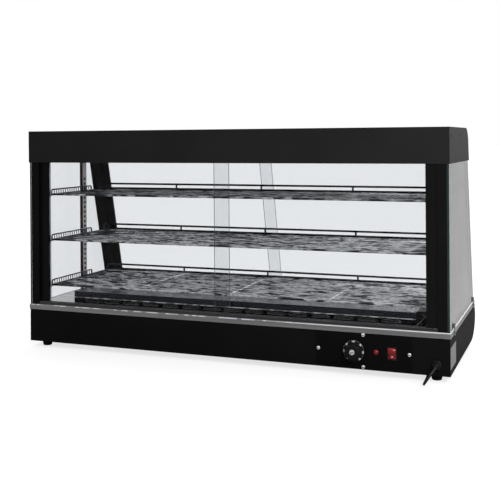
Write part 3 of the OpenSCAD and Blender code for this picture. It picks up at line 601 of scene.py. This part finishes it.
def make_plug():
    """Moulded plug: ribbed neck, waisted grip and a round front with a rim."""
    low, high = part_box("plug_body")
    place = Matrix.Translation((high.x, (low.y + high.y) / 2, (low.z + high.z) / 2))
    place = place @ Matrix.Rotation(-math.pi / 2, 4, "Y")
    length = high.x - low.x
    neck = [(0.0, 0.0), (4.2 * MM, 0.0)]
    for i in range(6):
        at = (2 + 5.5 * i) * MM
        r = (4.4 + 0.42 * i) * MM
        neck += [(r, at), (r, at + 3 * MM), (r - 0.8 * MM, at + 3.5 * MM), (r - 0.8 * MM, at + 5 * MM)]
    grip = [(7.2 * MM, 36 * MM), (11.5 * MM, 38 * MM), (16 * MM, 42 * MM), (17.2 * MM, 47 * MM),
            (16.2 * MM, 54 * MM), (16.6 * MM, 60 * MM), (17.8 * MM, 66 * MM), (17.9 * MM, length - 3 * MM),
            (17.2 * MM, length - 1 * MM), (15.8 * MM, length), (0.0, length)]
    bm = bmesh.new()
    add_lathe(bm, neck + grip, place, 48)
    plug = dress(sharpen(finish_mesh("plug_moulding", bm, "case"), 50), "rubber_black")
    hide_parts("plug_body")
    low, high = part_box("plug_pins")
    bm = bmesh.new()
    r = 2.4 * MM
    for y in (low.y + r, high.y - r):
        pin = Matrix.Translation((high.x, y, (low.z + high.z) / 2)) @ Matrix.Rotation(-math.pi / 2, 4, "Y")
        span = high.x - low.x
        profile = [(0, 0), (r * 0.82, 0), (r * 0.82, 9 * MM), (r, 9.2 * MM), (r, span - 1.6 * MM),
                   (r * 0.8, span - 0.5 * MM), (r * 0.4, span), (0, span)]
        add_lathe(bm, profile, pin, 24)
    pins = dress(sharpen(finish_mesh("plug_round_pins", bm, "case"), 40), "pin_brass")
    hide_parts("plug_pins")
    return plug, pins


def make_strain_relief():
    """Tapered sleeve with moulded rings, from the gland to the lead."""
    place, _, length = turned_place("strain_relief")
    profile = [(0, 0), (6.5 * MM, 0)]
    for i in range(5):
        at = (0.8 + 3.9 * i) * MM
        r = (6.5 - 0.42 * i) * MM
        profile += [(r, at), (r - 0.2 * MM, at + 2 * MM), (r - 1.1 * MM, at + 2.4 * MM),
                    (r - 1.2 * MM, at + 3.4 * MM)]
    profile += [(4.2 * MM, length), (0, length)]
    bm = bmesh.new()
    add_lathe(bm, profile, place, 40)
    sleeve = dress(sharpen(finish_mesh("strain_sleeve", bm, "case"), 50), "rubber_black")
    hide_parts("strain_relief")
    return sleeve


cord, cord_path = make_cord()
plug_pieces = make_plug()
strain_sleeve = make_strain_relief()

# ---------- wire shelves ----------

WIRE_PITCH = 12 * MM
WIRE_R = 1.25 * MM
ROD_R = 3 * MM
EDGE_R = 3 * MM
BAR_RISE = 8 * MM
RAIL_RISE = 19 * MM
GUARD_RISE = 14 * MM
GUARD_REACH = 220 * MM
LEG_X = 280 * MM


def make_shelf(node):
    """Fine wires along X on front-to-back rods, turned up at their ends under a side guard, and a rear bar
    and rail."""
    low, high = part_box(node)
    half = high.x - ROD_R
    z = low.z + 2 * MM
    front, rear = low.y + ROD_R, high.y - ROD_R
    bm = bmesh.new()
    count = int((rear - front) / WIRE_PITCH)
    for j in range(1, count + 1):
        y = front + j * WIRE_PITCH
        if y > rear - 4 * MM:
            break
        top = z + 1.2 * MM
        if y < front + GUARD_REACH:
            side = half - 0.4 * MM
            up = z + GUARD_RISE - 1 * MM
            path = bent([(-side, y, up), (-side, y, top), (side, y, top), (side, y, up)], 4 * MM)
        else:
            path = [(-half, y, top), (half, y, top)]
        add_tube(bm, path, WIRE_R, 8)
    add_tube(bm, [(-half, front, z), (half, front, z)], EDGE_R, 12)
    for x in (-half, -LEG_X, 0, LEG_X, half):
        add_tube(bm, [(x, front, z - 0.8 * MM), (x, rear, z - 0.8 * MM)], ROD_R - 0.3 * MM, 10)
    wires = dress(finish_mesh(node + "_wires", bm, "case"), "shelf_chrome")
    sharpen(wires, 60)
    bm = bmesh.new()
    bar = bmesh.ops.create_cube(bm, size=1, matrix=Matrix.Translation((0, rear, z + BAR_RISE / 2 - 1 * MM))
                                @ Matrix.Diagonal((2 * half, 4 * MM, BAR_RISE + 2 * MM, 1)))
    edges = {edge for vert in bar["verts"] for edge in vert.link_edges}
    bmesh.ops.bevel(bm, geom=list(edges), offset=1.2 * MM, segments=3, affect="EDGES")
    for x in (-LEG_X, 0, LEG_X):
        add_tube(bm, [(x, rear, z), (x, rear, z + RAIL_RISE)], ROD_R - 0.2 * MM, 10)
    rail = [(-half, rear, z), (-half, rear, z + RAIL_RISE), (half, rear, z + RAIL_RISE), (half, rear, z)]
    add_tube(bm, bent(rail, 9 * MM, 6), ROD_R, 12)
    for s in (-1, 1):
        x, end = s * half, front + GUARD_REACH
        guard = [(x, front, z), (x, front, z + GUARD_RISE), (x, end, z + GUARD_RISE), (x, end, z)]
        add_tube(bm, bent(guard, 6 * MM, 6), 2 * MM, 10)
    rails = dress(finish_mesh(node + "_rails", bm, "case"), "shelf_chrome", "rail_chrome")
    sharpen(rails, 60)
    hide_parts(node)


for shelf in ("shelf_bottom", "shelf_middle", "shelf_top"):
    make_shelf(shelf)

# ---------- dark strips painted as shade behind the shelf uprights' slots ---

SLOT_SHADE_DEPTH = 5.6 * MM
SLOT_SHADE_T, SLOT_SHADE_W, SLOT_SHADE_SHORT = 0.8 * MM, 19 * MM, 6 * MM


def make_slot_shade_strips(node):
    """Dark strips inside a pair of uprights, painted shade that their slots show."""
    low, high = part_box(node)
    middle = (low.y + high.y) / 2
    bm = bmesh.new()
    size = Matrix.Diagonal((SLOT_SHADE_T, SLOT_SHADE_W, high.z - low.z - SLOT_SHADE_SHORT, 1))
    for side in (-1, 1):
        x = side * (high.x - SLOT_SHADE_DEPTH)
        box = Matrix.Translation((x, middle, (low.z + high.z) / 2))
        bmesh.ops.create_cube(bm, size=1, matrix=box @ size)
    bmesh.ops.bevel(bm, geom=bm.edges[:], offset=0.3 * MM, segments=2, affect="EDGES")
    dress(finish_mesh(node + "_shade_strips", bm, "case", smooth=False), "rubber_black")


for pair in ("pilasters_front", "pilasters_rear"):
    make_slot_shade_strips(pair)

# ---------- dial, lamp and screws ----------


def ring_of_verts(bm, place, radii, t):
    """A ring of vertices, one to each radius, at t along the axis."""
    turns = [2 * math.pi * k / len(radii) for k in range(len(radii))]
    return [bm.verts.new(place @ Vector((r * math.cos(a), r * math.sin(a), t))) for r, a in zip(radii, turns)]


def skin(bm, rings):
    """Closes a row of rings into a solid."""
    n = len(rings[0])
    for a, b in zip(rings, rings[1:]):
        for k in range(n):
            bm.faces.new((a[k], a[(k + 1) % n], b[(k + 1) % n], b[k]))
    bm.faces.new(rings[0])
    bm.faces.new(list(reversed(rings[-1])))


SLOPE_IN = 21.5 * MM          # the skirt's sloped ring, from its inner edge
SLOPE_OUT = 0.8 * MM          # to this far inside the skirt's rim
SLOPE_RISE = 1.6 * MM
MARKS_FROM, MARKS_OVER = 230, 280
MARKS = 24
NUMBERS = ("0", "30", "50", "60", "70", "80", "90")


def make_dial():
    """Skirted knob with a fluted grip and a dished face."""
    place, skirt_r, depth = turned_place("dial")
    bm = bmesh.new()
    skirt = [(0, 0), (skirt_r - 0.6 * MM, 0), (skirt_r, 0.6 * MM), (skirt_r, 2.4 * MM),
             (skirt_r - SLOPE_OUT, 3.6 * MM), (SLOPE_IN, 3.6 * MM + SLOPE_RISE), (19 * MM, 5.4 * MM),
             (0, 5.4 * MM)]
    add_lathe(bm, skirt, place, 96)
    flutes = 24
    sides = flutes * 6

    def fluted(r, cut):
        return [r - cut * max(0, math.cos(2 * math.pi * k * flutes / sides)) ** 2 for k in range(sides)]

    rings = [ring_of_verts(bm, place, fluted(20 * MM, 0.9 * MM), 5 * MM),
             ring_of_verts(bm, place, fluted(19.4 * MM, 0.9 * MM), 12 * MM),
             ring_of_verts(bm, place, fluted(18.8 * MM, 0.8 * MM), depth - 2.2 * MM),
             ring_of_verts(bm, place, fluted(18.0 * MM, 0.4 * MM), depth - 0.7 * MM),
             ring_of_verts(bm, place, fluted(16.8 * MM, 0.0), depth),
             ring_of_verts(bm, place, fluted(8.4 * MM, 0.0), depth - 0.8 * MM)]
    skin(bm, rings)
    piece = dress(sharpen(finish_mesh("dial_knob", bm, "dial"), 40), "knob_black")
    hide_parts("dial")
    make_dial_marks(place, skirt_r)


def make_dial_marks(place, skirt_r):
    """Raised tick marks and the temperature numbers on the skirt."""
    bm = bmesh.new()
    lean = math.atan2(SLOPE_RISE, skirt_r - SLOPE_OUT - SLOPE_IN)
    mid_r = (skirt_r - SLOPE_OUT + SLOPE_IN) / 2
    for i in range(MARKS + 1):
        angle = math.radians(MARKS_FROM - i * MARKS_OVER / MARKS)
        long_mark = i % 4 == 0
        size = Vector((0.6 * MM, (1.8 if long_mark else 1.1) * MM, 0.12 * MM))
        at = skirt_r - 1.9 * MM
        turn = Matrix.Rotation(angle - math.pi / 2, 4, "Z") @ Matrix.Translation((0, at, 3.95 * MM))
        bmesh.ops.create_cube(bm, size=1, matrix=place @ turn @ Matrix.Rotation(-lean, 4, "X")
                              @ Matrix.Diagonal((*size, 1)))
    dress(finish_mesh("dial_ticks", bm, "dial", smooth=False), "knob_black", "mark_white")
    for i, number in enumerate(NUMBERS):
        angle = math.radians(MARKS_FROM - i * MARKS_OVER / (len(NUMBERS) - 1))
        data = bpy.data.curves.new("dial_number_" + number, "FONT")
        data.body = number
        data.size = 6 * MM
        data.offset = 0.12 * MM
        data.align_x = "CENTER"
        data.align_y = "CENTER"
        data.extrude = 0.06 * MM
        text = bpy.data.objects.new("dial_number_" + number, data)
        bpy.context.scene.collection.objects.link(text)
        turn = Matrix.Rotation(angle - math.pi / 2, 4, "Z")
        turn = turn @ Matrix.Translation((0, mid_r - 0.4 * MM, 4.75 * MM))
        text.matrix_world = place @ turn @ Matrix.Rotation(-lean, 4, "X")
        bpy.context.view_layer.update()
        mesh = bpy.data.meshes.new_from_object(text)
        mesh.transform(text.matrix_world)
        bpy.data.objects.remove(text)
        solid = bpy.data.objects.new("dial_number_" + number, mesh)
        bpy.context.scene.collection.objects.link(solid)
        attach(solid, "dial")
        dress(solid, "knob_black", "mark_white")


def make_dial_cap():
    """Bright cap with a dark cross and rim line; the dark cross is painted shade in its slot."""
    place, r, depth = turned_place("dial_cap")
    bm = bmesh.new()
    add_lathe(bm, [(0, -1 * MM), (r, -1 * MM), (r, depth - 0.7 * MM), (r - 0.6 * MM, depth - 0.2 * MM),
                   (r - 1.4 * MM, depth - 0.3 * MM), (r - 1.8 * MM, depth - 0.9 * MM),
                   (r - 3.4 * MM, depth - 0.5 * MM), (1.2 * MM, depth), (0, depth)], place, 48)
    piece = dress(sharpen(finish_mesh("dial_cap_disc", bm, "dial"), 30), "knob_black", "screw_steel")
    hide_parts("dial_cap")
    bm = bmesh.new()
    for turn, size in ((0, (0.55, 0.16)), (90, (0.16, 0.55))):
        across = (Matrix.Rotation(math.radians(turn + 20), 4, "Z")
                  @ Matrix.Translation((0, 0, depth - 0.1 * MM)))
        bmesh.ops.create_cube(bm, size=1, matrix=place @ across
                              @ Matrix.Diagonal((2 * r * size[0], 2 * r * size[1], 0.5 * MM, 1)))
    add_lathe(bm, [(r * 0.98, depth - 0.9 * MM), (r * 0.98, depth - 0.45 * MM), (r * 0.72, depth - 0.2 * MM),
                   (r * 0.72, depth - 0.9 * MM)], place, 40)
    dress(finish_mesh("dial_cap_cross", bm, "dial", smooth=False), "knob_black", "dark_screw")


def make_lens():
    """Domed lens on a short rim."""
    place, r, depth = turned_place("indicator_lens")
    rim = 2.4 * MM
    leans = [math.radians(9 * k) for k in range(9)]
    dome = [(r * math.cos(a) * 0.9, rim + (depth - rim) * math.sin(a)) for a in leans]
    bm = bmesh.new()
    add_lathe(bm, [(0, 0), (r, 0), (r, 1.6 * MM), (r - 0.5 * MM, 2.3 * MM)] + dome + [(0, depth)], place, 48)
    piece = dress(sharpen(finish_mesh("indicator_dome", bm, "case"), 40), "lens_red")
    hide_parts("indicator_lens")


ROCKER_REST = 12              # degrees of tilt at rest
ROCKER_PIVOT = 3 * MM         # depth of its pivot behind LIP_Y


def make_rocker():
    """Red rocker button: a domed upper half, a dished lower half and rounded ends."""
    low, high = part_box("rocker_button")
    x = (low.x + high.x) / 2
    low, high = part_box("rocker_housing")
    z = (low.z + high.z) / 2
    outline = [(-0.5, 14.0), (-3.6, 13.6), (-5.6, 11.6), (-6.9, 8.0), (-7.2, 4.4), (-6.4, 1.2), (-4.9, -1.4),
               (-4.2, -4.6), (-4.2, -8.0), (-5.0, -11.4), (-5.4, -13.0), (-4.6, -13.9), (0.0, -14.2),
               (4.5, -6.0), (4.5, 6.0)]
    tilt = Matrix.Rotation(math.radians(ROCKER_REST), 4, "X")
    pivot = Matrix.Translation((x, LIP_Y + ROCKER_PIVOT, z))
    half = 9.8 * MM
    bm = bmesh.new()
    rings = []
    for side, shrink in ((-half, 0.9), (-half + 0.6 * MM, 1.0), (half - 0.6 * MM, 1.0), (half, 0.9)):
        rings.append([bm.verts.new(pivot @ tilt @ Vector((side, y * shrink * MM, t * shrink * MM)))
                      for y, t in outline])
    skin(bm, rings)
    piece = dress(sharpen(finish_mesh("rocker_lit", bm, "rocker"), 60), "rocker_red")
    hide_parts("rocker_button")
    bm = bmesh.new()
    ring = (pivot @ tilt @ Matrix.Translation((0, -4.35 * MM, -7.4 * MM))
            @ Matrix.Rotation(math.pi / 2, 4, "X"))
    add_lathe(bm, [(1.1 * MM, 0), (1.1 * MM, 0.3 * MM), (1.9 * MM, 0.3 * MM), (1.9 * MM, 0)], ring, 24)
    dress(finish_mesh("rocker_off_mark", bm, "rocker", smooth=False), "rocker_red", "mark_white")


SCREW_SPACING = 79.5 * MM     # between the upper and the lower screw


def make_panel_screws():
    """Slotted pan heads, one over each of the panel's screws."""
    low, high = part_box("panel_screws")
    cx = (low.x + high.x) / 2
    r = (high.z - low.z - SCREW_SPACING) / 2
    row = (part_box("dial")[0].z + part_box("dial")[1].z) / 2
    places = [(low.x + r, row), (high.x - r, row), (cx, low.z + r), (cx, high.z - r)]
    bm = bmesh.new()
    for x, z in places:
        place = towards_operator(x, LIP_Y + 0.3 * MM, z)
        head = [(0, 0), (r, 0), (r, 0.9 * MM), (r * 0.9, 1.5 * MM), (r * 0.62, 2.0 * MM),
                (r * 0.3, 2.15 * MM)]
        add_lathe(bm, head + [(0, 2.2 * MM)], place, 32)
    heads = dress(sharpen(finish_mesh("panel_screw_heads", bm, "case"), 50), "screw_steel")
    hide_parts("panel_screws")
    # The dark bars in the slots are painted shade.
    bm = bmesh.new()
    for x, z in places:
        size = Matrix.Diagonal((2 * r * 0.92, 0.7 * MM, 1.7 * MM, 1))
        bmesh.ops.create_cube(bm, size=1, matrix=Matrix.Translation((x, LIP_Y - 1.7 * MM, z)) @ size)
    dress(finish_mesh("panel_screw_slots", bm, "case", smooth=False), "screw_steel", "dark_screw")


make_dial()
make_dial_cap()
make_lens()
make_rocker()
make_panel_screws()

# ---------- studio ----------

BACKDROP = 1.0
LIGHT_BACK = 1.0
LIGHT_FRONT = 0.07
FLOOR_SIZE = 60
FLOOR_GLOW = 0.73
KEY_WATTS = 38
SUN_STRENGTH = 1.7
RIM_STRENGTH = 1.4
RIM_WAY = (0.02, -0.85, -0.5)
SUN_ANGLE, RIM_ANGLE = 120, 30
KEY_PLACE = Vector((1.7, -1.7, 1.3))
KEY_AIM = Vector((0.3, 0, 0.4))
KEY_SIZE = 1.0
SIDE_BLEND = 0.35             # how far to each side of the case, in a direction's Y, the two lights blend


def make_world():
    """A white backdrop. What it lends to the case is bright behind it and dim on the operator's side."""
    world = bpy.data.worlds.new("studio")
    bpy.context.scene.world = world
    world.use_nodes = True
    tree = world.node_tree
    coordinates = tree.nodes.new("ShaderNodeTexCoord")
    parts = tree.nodes.new("ShaderNodeSeparateXYZ")
    ramp = tree.nodes.new("ShaderNodeMapRange")
    ramp.interpolation_type = "SMOOTHSTEP"
    ramp.inputs["From Min"].default_value = -SIDE_BLEND
    ramp.inputs["From Max"].default_value = SIDE_BLEND
    ramp.inputs["To Min"].default_value = LIGHT_FRONT
    ramp.inputs["To Max"].default_value = LIGHT_BACK
    seen = tree.nodes.new("ShaderNodeLightPath")
    either = tree.nodes.new("ShaderNodeMapRange")
    either.inputs["To Max"].default_value = BACKDROP
    background = tree.nodes["Background"]
    background.inputs["Color"].default_value = (1, 1, 1, 1)
    tree.links.new(coordinates.outputs["Generated"], parts.inputs[0])
    tree.links.new(parts.outputs["Y"], ramp.inputs["Value"])
    tree.links.new(seen.outputs["Is Camera Ray"], either.inputs["Value"])
    tree.links.new(ramp.outputs[0], either.inputs["To Min"])
    tree.links.new(either.outputs[0], background.inputs["Strength"])


def make_floor():
    """A pale floor with a glow that only the camera sees, straight or mirrored in the glass, so that it shows
    as white as the backdrop."""
    bm = bmesh.new()
    bmesh.ops.create_grid(bm, x_segments=8, y_segments=8, size=FLOOR_SIZE)
    mesh = bpy.data.meshes.new("floor")
    bm.to_mesh(mesh)
    bm.free()
    floor = bpy.data.objects.new("floor", mesh)
    bpy.context.scene.collection.objects.link(floor)
    s = Shader("floor_white")
    rays = s.node("ShaderNodeLightPath").outputs
    seen = s.math("MAXIMUM", rays["Is Camera Ray"], rays["Is Singular Ray"])
    s.link(s.blend(s.between(s.noise(0.8), 0, 1), (0.30, 0.30, 0.30), (0.32, 0.32, 0.32)),
           s.surface.inputs["Base Color"])
    s.surface.inputs["Roughness"].default_value = 0.9
    s.surface.inputs["Specular IOR Level"].default_value = 0.0
    s.surface.inputs["Emission Color"].default_value = (1, 1, 1, 1)
    s.link(s.math("MULTIPLY", seen, FLOOR_GLOW), s.surface.inputs["Emission Strength"])
    floor.data.materials.append(s.material)


def add_light(name, kind, energy, way=None):
    """Adds a light that shines along way, or straight down."""
    data = bpy.data.lights.new(name, kind)
    data.energy = energy
    light = bpy.data.objects.new(name, data)
    bpy.context.scene.collection.objects.link(light)
    if way:
        light.rotation_euler = way.to_track_quat("-Z", "Y").to_euler()
    return light


def make_lights():
    """A wide sun overhead, a rim sun from behind and a soft square key from the operator's right."""
    add_light("ceiling", "SUN", SUN_STRENGTH).data.angle = math.radians(SUN_ANGLE)
    add_light("rim", "SUN", RIM_STRENGTH, Vector(RIM_WAY)).data.angle = math.radians(RIM_ANGLE)
    key = add_light("key", "AREA", KEY_WATTS, KEY_AIM - KEY_PLACE)
    key.data.size = KEY_SIZE
    key.location = KEY_PLACE


make_world()
make_floor()
make_lights()
bpy.context.scene.view_settings.view_transform = "Standard"
